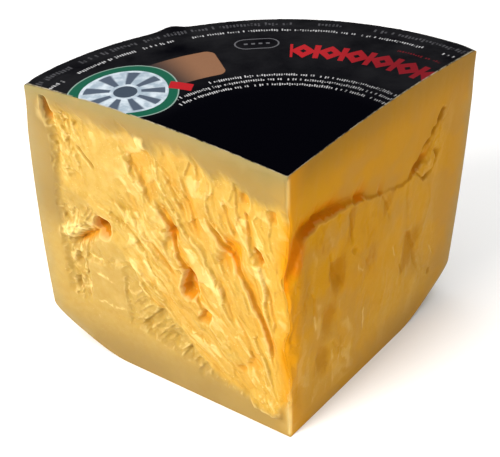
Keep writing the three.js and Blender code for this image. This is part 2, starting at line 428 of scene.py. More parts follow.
def left_relief(run, z):
    """How far the left face stands out of its cut plane, how freshly torn it is there, how strongly
    its hollows are painted with an orange glow and shade, and how light its flakes are, with
    painted shade in its cracks and painted highlights on some chips."""
    x, y, torn, fan, plateau, calm = left_zones(run, z)
    broken = crumbs(x, y, 150)
    chip_height, chip_tone = chips(run, z, calm)
    ridges, ridge_tone = splinters(run, z, SPLINTER_TURN, 155)
    hatched = smooth(84, 76, x) * smooth(34, 42, x)
    rind_side = torn * smooth(100, 110, x) * (1 - plateau) * (1 - 0.6 * calm)
    corner = smooth(*CORNER_Z, z)
    marks, cracks = left_marks(run, z, torn, broken)

    crumbly = lerp(0.5 * broken, 0.6 * ridges, hatched)
    large = flakes(x / 6.5, y / 5, 161, 1.6, 1.0)
    height = marks - 1.2 * torn
    height += torn * fan * chip_height
    height += torn * (1 - fan) * (1 - calm) * (crumbly - 0.6)
    height += torn * plateau * (0.8 + 0.12 * grain(x / 6, y / 6, 160))
    height += torn * calm * (1 - plateau) * (0.4 + 0.5 * grain(x / 14, y / 8, 165))
    height += rind_side * (1 + corner) * (0.4 * large + 0.16 * broken + 0.06 * ridges - 0.25)

    fresh = torn * (1 - 0.3 * plateau) * (1 - 0.3 * (1 - fan))
    # The cut paste between about 6 and 80 mm up also takes some of the torn colour, so the cut band
    # is darker towards the bottom
    fresh = np.maximum(fresh, 0.6 * smooth(6, 28, z) * smooth(80, 60, z))
    # Painted glow and shade: the fan's hollows are coloured orange, less so far from the tip
    shade_glow = fan * lerp(1.0, 0.5, smooth(60, 110, run))
    for patch in LEFT_SHADE_GLOW:
        shade_glow = np.maximum(shade_glow, pit(run, z, *patch))

    fragments = facet_tone(x / 2.2, y / 2.6, 158) + 0.8 * facet_tone(x / 6.5, y / 5, 161)
    # Painted shade: the crumbs in the rough corner by the rind and in the hatched zone are darker
    fragments = (0.9 + 0.5 * corner) * fragments - 0.15 * corner
    loose_tone = lerp(fragments, 0.9 * ridge_tone - 0.25, hatched)
    tone = lerp(chip_tone, loose_tone, np.maximum(rind_side, (1 - fan) * (1 - calm)))
    # Painted shade in the cracks
    tone = torn * (tone - np.clip(0.4 * cracks, 0, 0.7)) + left_lights(run, z)
    return softened(height), fresh, shade_glow, tone


# ------------ the right face

# A ragged edge, the scarp, runs across the face. Above it the paste is smooth and lies deeper.
SCARP = [
    (0, 82), (3, 89), (6, 98), (10, 102.5), (20, 105.5), (32, 105), (42, 103.5), (48, 101.5),
    (60, 97.5), (70, 95), (80, 92), (90, 92.5), (97, 98), (104, 108), (112, 118),
]
SCARP_DEPTH = [(0, 4.0), (8, 3.6), (20, 3.0), (50, 2.0), (65, 1.2), (85, 1.3), (96, 0.8), (106, 0)]
SCARP_SINK = 2.2  # how far below that line the edge itself lies
SCARP_SLOPE = 32  # how far above the edge the face is back at its cut plane
SPLIT = [  # how much deeper it is just above the scarp's edge
    (0, 0.5), (8, 1.8), (14, 2.6), (30, 2.4), (38, 1.0), (44, 0.8), (47, 2.4), (53, 0.8), (60, 0.3),
    (62.5, 1.6), (65, 0.3), (84, 0.4), (90, 2.4), (96, 1.6), (102, 0),
]
WALL_WIDTH = 1.7  # how wide the wall under the scarp's edge is, seen square on
SPLIT_REACH = 13  # how far beyond the wall the split rises again
SCARP_SHADE_STRENGTH = [  # painted shade: how dark orange the paste is just above the scarp's edge
    (0, 1), (8, 0.95), (15, 0.9), (32, 0.85), (38, 0.5), (44, 0.5), (48, 0.95), (53, 0.45),
    (60, 0.2), (63, 0.6), (66, 0.15), (84, 0.15), (90, 0.75), (97, 0.5), (104, 0),
]
# Painted glow of light through the thin paste by the tip
RIGHT_TIP_GLOW = ((4, 96), (12, 15), 1, -14, 0.75)

RIGHT_CRACKS = [
    ([(40, 101), (42, 90), (44, 79)], 1, 3),
    ([(64, 95), (68, 87), (72, 77)], 1, 4),
    ([(46, 78), (53, 67), (59, 57)], 0.6, 3),
    ([(53, 42), (54, 32), (57, 21)], 0.6, 1.6),
    ([(14, 78), (18, 66), (19, 52)], 0.9, 3),
    ([(26, 88), (31, 76), (38, 60)], 0.9, 4),
    ([(84, 45), (86, 37)], 0.8, 2),
    ([(107, 45), (110, 39), (114, 32)], 0.8, 1.6),
    ([(77, 60), (80, 52)], 0.6, 2),
    ([(30, 36), (36, 27), (44, 20)], 0.8, 4),
]
RIGHT_PITS = [
    ((33, 70), (5, 13), 1.8, 8, 0.8),
    ((28, 49), (6.5, 13), 1.5, 0, 0.9),
    ((24, 28), (6, 11), 1.5, 0, 0.9),
    ((46, 76), (2.4, 3.6), 1, 30, 0.8),
    ((91, 52), (6.5, 15), 1, -18, 0.9),
    ((111, 24), (1.6, 2), 1.4, 0, 0.6),
    ((0, 47), (5.5, 16), 2.6, 0, 0.9),
    ((2, 92), (6, 10), 1.6, 0, 0.9),
]
RIGHT_SHADES = [  # painted shade in the hollows and beside the cracks below the scarp
    ((12, 80), (7, 21), 0.55, 0, 0.8),
    ((34, 69), (6.5, 14), 0.85, 8, 0.6),
    ((28, 49), (7.5, 13), 0.7, 0, 0.6),
    ((24, 28), (7, 12), 0.7, 0, 0.7),
    ((39, 32), (5, 9), 0.35, 25, 0.8),
    ((92, 50), (6.5, 17), 0.75, -18, 0.6),
    ((58, 61), (9, 9), 0.3, -30, 0.8),
    ((68, 86), (3.6, 11), 0.7, -20, 0.7),
    ((42, 91), (2.6, 13), 0.8, -6, 0.7),
    ((86, 39), (3, 5), 0.5, -15, 0.6),
]
RIGHT_LIP_HIGHLIGHTS = [  # painted highlights: short pale lines along the lips of the cracks
    [(54, 40), (55, 30), (56, 22)],
    [(108, 43), (111, 37), (113, 32)],
    [(76, 60), (78, 52)],
    [(19, 58), (18, 48)],
    [(47, 66), (53, 60)],
    [(31, 30), (33, 22)],
]
TRAIL = [  # crumbly hollows that run on from the scarp's end
    ((92.5, 95.5), (4.6, 3.2), 2, 30, 0.7),
    ((98.5, 84.5), (3.4, 1.8), 1.2, 20, 0.8),
    ((106, 93), (2, 4.5), 1.4, -20, 0.8),
    ((95.5, 103.5), (3.6, 1.6), 1, 30, 0.7),
    ((101, 108.5), (2.4, 2.2), 1.2, 40, 0.7),
    ((105.5, 113.5), (3.2, 4.6), 2, -10, 0.7),
]
TRAIL_LINES = [  # cracks around those hollows, darkened with painted shade
    [(88, 94), (92, 90), (95, 86), (99, 83.5), (103, 86), (106, 91), (105, 97), (100, 100)],
    [(91, 97), (94, 101), (98, 104), (100, 109)],
    [(100, 108), (104, 110), (107, 116), (104, 119)],
]
TRAIL_KNOB = ((100, 92), (4.5, 5.5), 1.1, -15, 0.8)
TRAIL_AREA = ((101, 98), (9, 21), 1, -12, 0.6)
FURROW = [(86, 65), (92, 54), (97, 42), (100, 28)]
EDGE_CHIPS = 22  # how far in from the tip the right face is chipped


def above_scarp(run, z):
    """How far above the scarp's edge each place is."""
    steps = 1.5 * facet_tone(run / 5, z / 13, 206)
    return z + SCARP_SINK - along(SCARP, run) - 0.8 * grain(run / 8, z / 6, 205) - steps


def upper_height(run, z, over):
    """The height of the smooth paste above the scarp."""
    slope = 1 - smooth(-6, SCARP_SLOPE, z + SCARP_SINK - along(SCARP, run))
    split = along(SPLIT, run) * np.clip(1 - (over - WALL_WIDTH) / SPLIT_REACH, 0, 1) ** 2
    return 0.12 * grain(run / 6, z / 25, 210) - along(SCARP_DEPTH, run) * slope - split


def right_marks(run, z):
    """How deep the single marks below the scarp are."""
    line = wavering(run, z, 290)
    marks = crack(*line, FURROW, 1.8, 13, 1.6)
    marks += sum(crack(*line, *mark) for mark in RIGHT_CRACKS)
    return marks + sum(pit(*line, *hollow) for hollow in RIGHT_PITS)


def scarp_shade_and_tip_glow(run, z, over):
    """How orange the face is above the scarp's edge, and all the way down to it near the tip:
    painted shade along the edge, and a painted glow of light through the thin paste by the tip.
    """
    inland = smooth(0, 12, run)
    patchy = smooth(-0.5, 0.8, ripple(run / 5, z / 5, 229))
    shade_band = along(SCARP_SHADE_STRENGTH, run) * smooth(lerp(-9, -0.4, inland), lerp(5, 0.3, inland), over)
    shade_band = shade_band * np.clip(1.15 - over / lerp(34, 15, inland), 0, 1) ** 1.4
    return np.maximum(shade_band * (1 - 0.3 * patchy * inland), pit(*wavering(run, z, 290), *RIGHT_TIP_GLOW))


def ledge_tone(run, z, x, y, rough):
    """How light the flakes below the scarp look, with painted shade in the darker patches and
    painted highlights in the pale lines along the cracks.
    """
    tone = 0.6 * facet_tone(x / 8, y / 22, 227) + 0.4 * facet_tone(x / 4, y / 13, 229)
    tone += 0.8 * rough * facet_tone(x / 2.2, y / 4, 228)
    tone *= lerp(1, 0.45, smooth(40, 85, run))
    place = ragged(run, z, 260, 0.9, 0.9)
    tone -= 1.2 * sum(pit(*place, *patch) for patch in RIGHT_SHADES)
    line = wavering(run, z, 290)
    return tone + sum(crack(*line, points, 0.9, 0.9, 0.9) for points in RIGHT_LIP_HIGHLIGHTS)


def right_relief(run, z):
    """As left_relief, for the right face."""
    x, y = ragged(run, z, 200, 0.6, 0.2)
    over = above_scarp(run, z)
    ledge = smooth(0.5, -0.5, over)
    torn = smooth(0, 16, 120 - x) * smooth(6, 22, z)
    rough = smooth(0, 0.8, ripple(x / 16, y / 22, 270))
    broken = crumbs(x, y, 240)
    marks = right_marks(run, z)
    bent = wavering(run, z, 297, 1.8)
    trail = sum(pit(*bent, *hollow) for hollow in TRAIL)
    trail += sum(crack(*bent, points, 1.3, 1.5) for points in TRAIL_LINES)
    trail_area = pit(run, z, *TRAIL_AREA)

    bend = 0.3 * ripple(x / 20, y / 20, 221)
    swell = 0.7 * grain(x / 11, y / 28, 225) + plates(x / 17 + bend, y / 40, 220, 1.0)
    swell = swell + rough * (flakes(x / 5, y / 12, 230, 0.35, 0.3) + 0.12 * broken)
    lower = -torn * (0.9 - 0.8 * swell) - marks
    lower += torn * (1 - smooth(0, EDGE_CHIPS, x)) * 0.25 * crumbs(x / 1.6, y / 2.4, 250)
    inland = smooth(0, 14, run)
    foot, brink = lerp(-10, -0.5, inland), lerp(10, WALL_WIDTH, inland)
    wall = smooth(0, 1, (over - foot) / (brink - foot))
    height = lerp(lower, upper_height(run, z, over), wall)
    height += pit(*wavering(run, z, 290), *TRAIL_KNOB) - trail + 0.35 * trail_area * broken

    # Painted shade: cracks, pits and crumbly hollows are darker, and so is the face above the
    # scarp's edge
    tone = ledge * (ledge_tone(run, z, x, y, rough) - np.clip(0.25 * marks, 0, 0.4))
    tone -= np.clip(0.6 * trail, 0, 1) + 0.2 * (1 - ledge)
    # Painted shade in a thin dark line just above the scarp's edge
    stretches = smooth(-0.7, 0.3, ripple(run / 7, 5.5, 207))
    stretches = stretches * smooth(6, 14, run) * smooth(98, 90, run)
    tone -= 1.1 * stretches * np.exp(-(((over - 0.5) / 0.7) ** 2))
    crumbled = facet_tone(x / 2.2, y / 2.6, 158) + facet_tone(x / 1.1, y / 1.3, 159)
    tone += 0.3 * trail_area * crumbled
    return softened(height), torn * ledge, scarp_shade_and_tip_glow(run, z, over), tone


# ------------ the cheese's surface


def heading(turn):
    """The level direction at a turn from -1, the left cut, to 1, the right cut."""
    return np.sin(turn * HALF_ANGLE), np.cos(turn * HALF_ANGLE)


def rim_distance(turn):
    ahead = heading(turn)[1] * TIP_PAST_AXIS
    return ahead + np.sqrt(ahead**2 + WHEEL_RADIUS**2 - TIP_PAST_AXIS**2)


def top_level(share):
    return TOP_LEVEL - RIM_DROP * share**RIM_POWER - CENTRE_DIP * (1 - share) ** 2


def wheel_points(turn, share, z):
    """Points of the wheel, from their turn, their share of the way to the rim, and their height."""
    turn, share, z = np.broadcast_arrays(turn, share, z)
    out_x, out_y = heading(turn)
    low = 1 - z / TOP_LEVEL
    lean_x, lean_y = (shift * low * (1 - share) for shift in FOOT_SHIFT)
    flare = lerp(-LEFT_FLARE, RIGHT_FLARE, (turn + 1) / 2) * low * share
    reach = share * rim_distance(turn)
    x = TIP[0] + out_x * reach + lean_x + out_y * flare
    y = TIP[1] + out_y * reach + lean_y - out_x * flare
    return np.stack([x, y, z], axis=-1)


def swollen(z):
    return FACE_LENGTH * (1 + 4 * SIDE_BULGE * z * (TOP_LEVEL - z) / TOP_LEVEL**2)


def quadratic(a, middle, b):
    t = np.linspace(0, 1, 30)[:, None]
    a, middle, b = (np.array(p, float) for p in (a, middle, b))
    return (1 - t) ** 2 * a + 2 * t * (1 - t) * middle + t**2 * b


def stepped(pieces, steps):
    """Points at equal distances along joined pieces of outline."""
    points = np.concatenate(pieces)
    points = points[np.append(True, np.hypot(*np.diff(points, axis=0).T) > 1e-9)]
    travelled = np.append(0, np.cumsum(np.hypot(*np.diff(points, axis=0).T)))
    at = np.linspace(0, travelled[-1], steps + 1)
    return np.stack([np.interp(at, travelled, points[:, k]) for k in (0, 1)], axis=-1)


def underside_outline():
    flat = np.array([(0, 0), (FOOT_END, 0)], float)
    return stepped([flat, quadratic((FOOT_END, 0), (FOOT_TANGENT, 0), HEEL_MIDDLE)], RUN_STEPS)


def side_outline():
    rim = top_level(1.0)
    tangent = (swollen(HEEL_TANGENT_Z), HEEL_TANGENT_Z)
    heel = quadratic(HEEL_MIDDLE, tangent, (swollen(HEEL_TOP), HEEL_TOP))
    z = np.linspace(HEEL_TOP, rim - EDGE_ROUND, 60)
    ease = smooth(0.8, 1, (z - z[0]) / (z[-1] - z[0]))
    wall = np.stack([lerp(swollen(z), FACE_LENGTH, ease), z], axis=-1)
    edge = quadratic((FACE_LENGTH, rim - EDGE_ROUND), (FACE_LENGTH, rim), (TOP_RUN, rim))
    return stepped([heel, wall, edge], HEIGHT_STEPS)


FOOT = underside_outline()
WALL = side_outline()
U = np.linspace(0, 1, RUN_STEPS + 1)
V = np.linspace(0, 1, HEIGHT_STEPS + 1)
CROWN = np.stack([U * TOP_RUN, top_level(U)], axis=-1)


def face_grid():
    """Run and height over a cut face, spread between its four borders."""
    u, v = U[None, :], V[:, None]
    spread = []
    for k in (0, 1):
        tip, wall = v * CROWN[0, k], WALL[:, None, k]
        borders = (1 - v) * FOOT[None, :, k] + v * CROWN[None, :, k] + (1 - u) * tip + u * wall
        corners = (1 - v) * u * WALL[0, k] + (1 - u) * tip + u * v * WALL[-1, k]
        spread.append(borders - corners)
    return spread


def outward(side):
    return np.array([side * math.cos(HALF_ANGLE), -math.sin(HALF_ANGLE), 0])


# What the surface's colours are worked out from, kept at each point of the mesh. Several paint
# # light and shade into the colour: glows, shade and highlights.
LOOKS = ("torn", "deep", "thin", "tip_glow_side_shade", "crest", "tone", "rind", "rim", "skin")
TIP_ROUND = 0.8  # how far the edge between the two cuts is taken back
TIP_BAND = 12  # near the tip a face also follows the other face's relief
# How strongly light that comes through the tip colours the left face beside it, by height
TIP_GLOW = [
    (0, 0.2), (10, 0.3), (20, 0.8), (30, 0.6), (40, 0.9), (52, 0.8), (62, 0.2), (82, 0.2), (92, 1),
    (108, 0.9), (116, 0.2), (139, 0.1),
]


def cut_face(side):
    """One cut face: its grid of points and what its paste looks like. side is -1 or 1."""
    run, z = face_grid()
    own, other = (left_relief, right_relief) if side < 0 else (right_relief, left_relief)
    height, torn, shade_glow, tone = own(run, z)
    at_tip = other(np.zeros((len(V), 3)), z[:, :3])[0][:, :1]
    to_rind = np.interp(z, WALL[:, 1], WALL[:, 0]) - run
    to_top = top_level(run / TOP_RUN) - z
    border = smooth(0, 2, z) * smooth(0, 2.5, to_top) * smooth(0, 2.5, to_rind)
    height, at_tip = height * border, at_tip * border[:, :1]
    near_tip = 1 - smooth(0, TIP_BAND, run)
    points = wheel_points(float(side), run / FACE_LENGTH, z)
    points = points + height[..., None] * outward(side)
    points = points + (at_tip * near_tip)[..., None] * outward(-side)
    points[..., 1] += TIP_ROUND * border * (1 - smooth(0, 2 * TIP_ROUND, run))

    # Painted shade and glow: the lower a place lies in its hollow, the more orange it is coloured
    hollow = -blurred(height, 1)
    if side < 0:
        deep = np.clip(hollow / 6, 0, 1) * shade_glow
        tip_glow_side_shade = along(TIP_GLOW, z) * np.exp(-((run / 4.5) ** 2))
        thin, rim_width = np.maximum(torn, 0.25), 7
    else:
        deep = np.maximum(0.5 * np.clip((hollow - 1.2) / 4.5, 0, 1), shade_glow)
        # Painted shade: the right face, turned from the key light, is painted a darker
        # orange-brown, most strongly high up and near the tip
        tip_glow_side_shade = lerp(0.7, 0.97, smooth(10, 70, z)) * lerp(1, 0.86, smooth(20, 110, run))
        # On the right face the band under the top is wider: painted shade where the face slopes
        # back
        thin, rim_width = 1, 20
    # Painted highlight: the tip's edge is pale near its foot and near the top
    pale = np.exp(-((run / 1.8) ** 2)) * (1 - smooth(12, 34, z) * smooth(126, 112, z))
    looks = {
        "torn": torn,
        "deep": deep,
        # Painted glow of light through the paste, strongest by the thin tip
        "thin": thin * np.exp(-run / 30),
        "tip_glow_side_shade": tip_glow_side_shade * (1 - 0.7 * pale),
        # How far a place stands above its surroundings: used for painted shade in creases and
        # painted highlights on crests
        "crest": height - blurred(height, 3),
        "tone": (tone + 0.9 * pale) * border,
        "rind": 1 - smooth(0, 6, to_rind),
        "rim": 1 - smooth(0, rim_width, to_top),
        "skin": np.zeros(run.shape),
    }
    return points, looks


def outside(turns, outline, roughness):
    """A patch of the wheel's outside: the outline swept over the turns."""
    turn, _ = np.meshgrid(turns, outline[:, 0])
    run, z = outline[:, :1], outline[:, 1:]
    sweep = turn * HALF_ANGLE * WHEEL_RADIUS
    path = np.append(0, np.cumsum(np.hypot(*np.diff(outline, axis=0).T)))[:, None]
    fade = smooth(0, 3, path) * smooth(0, 3, path[-1] - path)
    fade = fade * smooth(0, 0.03, 1 - np.abs(turn))
    dent = grain(sweep / 14, path / 14, 300) + 0.3 * grain(sweep / 2.5, path / 2.5, 310)
    dent = roughness * fade * dent
    points = wheel_points(turn, (run + dent) / FACE_LENGTH, np.broadcast_to(z, turn.shape))
    ones = np.ones(turn.shape)
    return points, {name: 0 * ones for name in LOOKS} | {"crest": dent, "rind": ones, "skin": ones}


def joined(patches):
    """Patches joined into one closed surface: points, triangles and looks. Each patch is
    (points, looks, flipped)."""
    points = np.concatenate([p.reshape(-1, 3) for p, _, _ in patches])
    triangles = []
    first = 0
    for grid, _, flipped in patches:
        index = first + np.arange(grid[..., 0].size).reshape(grid.shape[:2])
        a, b, c, d = index[:-1, :-1], index[:-1, 1:], index[1:, 1:], index[1:, :-1]
        quads = np.stack([a, d, c, b] if flipped else [a, b, c, d], axis=-1).reshape(-1, 4)
        triangles += [quads[:, [0, 1, 2]], quads[:, [0, 2, 3]]]
        first += index.size
    cells = np.round(points / WELD)
    _, kept, place = np.unique(cells, axis=0, return_index=True, return_inverse=True)
    triangles = place.reshape(-1)[np.concatenate(triangles)]
    distinct = (np.diff(np.sort(triangles, axis=1), axis=1) > 0).all(axis=1)
    looks = {
        name: np.concatenate([look[name].reshape(-1) for _, look, _ in patches])[kept]
        for name in patches[0][1]
    }
    return points[kept], triangles[distinct], looks


def placed(name, data):
    """A new object in the scene that shows that data."""
    item = bpy.data.objects.new(name, data)
    bpy.context.scene.collection.objects.link(item)
    return item


def mesh_object(name, points, triangles, looks):
    mesh = bpy.data.meshes.new(name)
    mesh.from_pydata((points * MM).tolist(), [], triangles.tolist())
    for look, values in looks.items():
        layer = mesh.attributes.new(look, "FLOAT", "POINT")
        layer.data.foreach_set("value", values.astype(np.float32))
    mesh.shade_smooth()
    mesh.set_sharp_from_angle(angle=SHARP_EDGE)
    return placed(name, mesh)


def thinned(piece, most):
    """The same piece with the triangles that its flatter parts don't need taken out."""
    modifier = piece.modifiers.new("thin", "DECIMATE")
    modifier.ratio = min(1, most / len(piece.data.polygons))
    evaluated = piece.evaluated_get(bpy.context.evaluated_depsgraph_get())
    thin = bpy.data.meshes.new_from_object(evaluated)
    piece.modifiers.clear()
    thin.set_sharp_from_angle(angle=SHARP_EDGE)
    piece.data = thin
    return piece


def make_cheese():
    turns = np.linspace(-1, 1, TURN_STEPS + 1)
    patches = [
        (*cut_face(-1), True),
        (*cut_face(1), False),
        (*outside(turns, WALL, 0.25), True),
        (*outside(turns, FOOT, 0.0), False),
        (*outside(turns, CROWN, 0.0), True),
    ]
    return thinned(mesh_object("cheese", *joined(patches)), MOST_FACES)


# ------------ the label's surface

FILM_GAP = 0.12
FILM_THICKNESS = 0.3
FILM_DROOP = 0.55  # how far it hangs over the rim
FILM_SPREAD = (105, 129)  # about how wide the film is per turn, and how far it reaches
FILM_STEPS = (150, 240)  # out from the tip, and around
LIFTED = (-0.30, 0.05)  # the turn where the film has come loose at the rim, and how wide that is


def film_points(share, turn, top):
    """Points of the film, from their share of the way to the rim, their turn, and 0 for its
    underside or 1 for its printed side."""
    corner = smooth(0.93, 1, np.abs(turn))
    fray = 0.0016 * grain(turn * 60, share * 0 + 3, 400)
    reach = share * (1 - 0.008 * corner + fray)
    sweep, out = turn * FILM_SPREAD[0], share * FILM_SPREAD[1]
    wrinkle = 0.10 * grain(sweep / 16, out / 7, 410) * smooth(0.55, 1, share)
    wrinkle = wrinkle + 0.05 * grain(sweep / 5, out / 5, 420) * smooth(0.1, 0.3, share)
    loose = np.exp(-(((turn - LIFTED[0]) / LIFTED[1]) ** 2)) * smooth(0.93, 1, share)
    rise = 1.6 * loose - FILM_DROOP * smooth(0.988, 1.003, share)
    points = wheel_points(turn, reach, top_level(reach))
    points[..., 2] += rise + np.abs(wrinkle) + FILM_GAP + top * FILM_THICKNESS
    at_cut = smooth(0.985, 1, np.abs(turn)) * smooth(0, 0.1, share)
    points[..., 0] += 0.25 * grain(out / 2.2, turn * 0, 430) * at_cut
    return points


def make_label():
    out, around = np.linspace(0, 1, FILM_STEPS[0] + 1), np.linspace(-1, 1, FILM_STEPS[1] + 1)
    share, turn = np.meshgrid(out, around, indexing="ij")
    top, bottom = film_points(share, turn, 1), film_points(share, turn, 0)
    at_cut = (np.abs(turn) > 0.999).astype(float)
    patches = [(top, {"cut": at_cut}, True), (bottom, {"cut": at_cut}, False)]
    every = slice(None)
    borders = ((-1, 0.0, True), ((every, 0), 1.0, True), ((every, -1), 1.0, False))
    for border, cut, flipped in borders:
        strip = np.stack([bottom[border], top[border]])
        patches.append((strip, {"cut": np.full(strip.shape[:2], cut)}, flipped))
    return mesh_object("label", *joined(patches))


# ------------ materials


class Field:
    """A number that varies over a surface, worked out by shader nodes."""

    def __init__(self, socket):
        self.socket, self.tree = socket, socket.id_data

    def math(self, operation, *others):
        node = self.tree.nodes.new("ShaderNodeMath")
        node.operation = operation
        for place, value in zip(node.inputs, (self, *others)):
            connect(value, place)
        return Field(node.outputs[0])

    def __add__(self, other):
        return self.math("ADD", other)

    def __sub__(self, other):
        return self.math("SUBTRACT", other)

    def __rsub__(self, other):
        return self * -1.0 + other

    def __mul__(self, other):
        return self.math("MULTIPLY", other)

    def __truediv__(self, other):
        return self.math("DIVIDE", other)

    __radd__ = __add__
    __rmul__ = __mul__

    def most(self, other):
        return self.math("MAXIMUM", other)

    def size(self):
        return self.math("ABSOLUTE")

    def hypot(self, other):
        return (self * self + other * other).math("SQRT")

    def step(self, low, high):
        """0 below low, 1 above high, and smooth between. If low is the larger one, 1 below high
        and 0 above low."""
        if low > high:
            return 1.0 - self.step(high, low)
        node = self.tree.nodes.new("ShaderNodeMapRange")
        node.interpolation_type = "SMOOTHSTEP"
        feed(node, {"Value": self, "From Min": low, "From Max": high})
        return Field(node.outputs["Result"])


def connect(value, place):
    """Give an input a Field, another socket or a plain value."""
    if isinstance(value, Field):
        value = value.socket
    if isinstance(value, bpy.types.NodeSocket):
        place.id_data.links.new(value, place)
    else:
        place.default_value = value


def feed(node, values):
    """Give several inputs of a node their values, by the inputs' names or numbers."""
    for name, value in values.items():
        connect(value, node.inputs[name])


def srgb(red, green, blue):
    """A colour as it looks on a screen, from 0 to 255, as Blender's linear one."""
    shares = (red / 255, green / 255, blue / 255)
    linear = (c / 12.92 if c <= 0.04045 else ((c + 0.055) / 1.055) ** 2.4 for c in shares)
    return (*linear, 1.0)


def mixed(share, a, b):
    """Colour a where share is 0 and colour b where it is 1."""
    node = share.tree.nodes.new("ShaderNodeMix")
    node.data_type = "RGBA"
    colours = [s for s in node.inputs if s.type == "RGBA"]
    connect(share, node.inputs["Factor"])
    connect(a, colours[0])
    connect(b, colours[1])
    return next(s for s in node.outputs if s.type == "RGBA")


def attribute(tree, name):
    node = tree.nodes.new("ShaderNodeAttribute")
    node.attribute_name = name
    return Field(node.outputs["Fac"])


def place_mm(tree):
    """The place on the object in millimetres: a vector socket and its three numbers."""
    coordinates = tree.nodes.new("ShaderNodeTexCoord")
    scale = tree.nodes.new("ShaderNodeVectorMath")
    scale.operation = "SCALE"
    feed(scale, {"Scale": 1 / MM, 0: coordinates.outputs["Object"]})
    parts = tree.nodes.new("ShaderNodeSeparateXYZ")
    connect(scale.outputs[0], parts.inputs[0])
    return scale.outputs[0], [Field(part) for part in parts.outputs]


def noise(vector, wavelength, detail=3.0, roughness=0.55):
    """Noise from 0 to 1 with that wavelength in millimetres."""
    node = vector.id_data.nodes.new("ShaderNodeTexNoise")
    feed(node, {"Vector": vector, "Scale": 1 / wavelength})
    feed(node, {"Detail": detail, "Roughness": roughness})
    return Field(node.outputs["Fac"])


def new_material(name):
    """A material with its tree and its shader."""
    material = bpy.data.materials.new(name)
    material.use_nodes = True
    tree = material.node_tree
    return material, tree, tree.nodes["Principled BSDF"]


def bumped(shader, height, distance_mm, strength):
    bump = height.tree.nodes.new("ShaderNodeBump")
    feed(bump, {"Strength": strength, "Distance": distance_mm * MM, "Height": height})
    connect(bump.outputs["Normal"], shader.inputs["Normal"])


def paste_colour(vector, looks, fine):
    """The paste's colour, from its looks: layer after layer of (share, colour). Several layers
    paint
    light and shade: glows by the tip and in hollows, shade over the right face, in creases and in
    cracks, and highlights on crests and edges.
    """
    torn, deep, thin, tip_glow_side_shade, crest, tone, rind, rim, skin = looks
    broad = noise(vector, 26).step(0.35, 0.65)
    patchy = noise(vector, 22, 2).step(0.45, 0.62)
    specks = noise(vector, 0.8, 2).step(0.66, 0.74)
    mottled = noise(vector, 18, 5).step(0.35, 0.7)
    stained = noise(vector, 4, 5, 0.7).step(0.55, 0.75)

    fresh = mixed(fine.step(0.35, 0.7), srgb(185, 153, 77), srgb(179, 143, 66))
    glow_shade_colour = mixed(patchy, srgb(188, 131, 8), srgb(180, 128, 36))
    # The band under the top: greyer on the left face, painted shade in a darker orange-brown on the
    # right face
    top_band_and_shade = mixed(tip_glow_side_shade, srgb(132, 124, 82), srgb(142, 102, 22))
    # Orange for the painted glow and shade in hollows, above the scarp's edge and by the tip
    glow = mixed(tip_glow_side_shade, srgb(212, 136, 8), srgb(190, 106, 0))
    glow = mixed(thin.step(0.6, 0.9), glow, srgb(208, 120, 2))
    # The darker tone: partly the flakes' own colour, partly painted shade
    shade = mixed(torn, srgb(112, 92, 44), srgb(156, 122, 46))
    shade = mixed(tip_glow_side_shade, shade, srgb(166, 106, 0))
    crust = mixed(mottled, srgb(164, 138, 84), srgb(140, 110, 62))

    colour = mixed(broad, srgb(147, 121, 68), srgb(140, 114, 63))
    for share, layer in (
        (torn, fresh),
        # painted glow of light through the thin tip
        (thin * 0.8, srgb(196, 152, 50)),
        # painted orange-brown: a glow by the tip on the left face, shade over the right face
        (tip_glow_side_shade, glow_shade_colour),
        (rind * 0.6, srgb(150, 136, 98)),
        (rim * 0.75, top_band_and_shade),
        # a stronger painted glow at the very tip
        (tip_glow_side_shade * thin.step(0.6, 1.0) * 0.75, srgb(210, 138, 4)),
        # lighter and darker tone: partly the flakes' own random tone, partly painted highlights and
        # painted shade
        (tone.step(0.0, 1.1) * (0.75 - 0.3 * tip_glow_side_shade), srgb(232, 204, 134)),
        (tone.step(0.0, -1.1) * 0.7, shade),
        # painted glow and shade in hollows
        (deep.step(0.15, 0.95) * 0.9, glow),
        # painted shade in creases and painted highlights on crests
        (crest.step(0.0, -0.6) * 0.4 * (1.0 - tip_glow_side_shade), srgb(170, 128, 34)),
        (crest.step(0.08, 0.45) * 0.32 * (1.0 - 0.7 * tip_glow_side_shade), srgb(232, 208, 140)),
        (specks * torn * 0.4 * (1.0 - tip_glow_side_shade), srgb(232, 208, 150)),
        (skin, mixed(stained * 0.5, crust, srgb(118, 90, 50))),
    ):
        colour = mixed(share, colour, layer)
    return colour


def paste_material():
    material, tree, shader = new_material("paste")
    vector, _ = place_mm(tree)
    looks = [attribute(tree, name) for name in LOOKS]
    torn, tip_glow_side_shade, skin = (looks[LOOKS.index(name)] for name in ("torn", "tip_glow_side_shade", "skin"))
    fine = noise(vector, 3.2, 4)
    feed(shader, {
        "Base Color": paste_colour(vector, looks, fine),
        "Roughness": 0.46 + 0.16 * fine + 0.1 * skin,
        "Specular IOR Level": 0.08 - 0.05 * tip_glow_side_shade,
        "Subsurface Weight": 0.3,
        "Subsurface Radius": (1.0, 0.55, 0.15),
        "Subsurface Scale": 1.3 * MM,
    })
    grains = noise(vector, 1.4, 4, 0.65) * (0.35 + 0.65 * torn)
    bumped(shader, grains + 0.5 * skin * noise(vector, 0.9, 2), 0.35, 0.8)
    return material


# ------------ the print on the label

PRINT_CENTRE = (TIP[0] - 0.5, TIP[1] + TIP_PAST_AXIS)


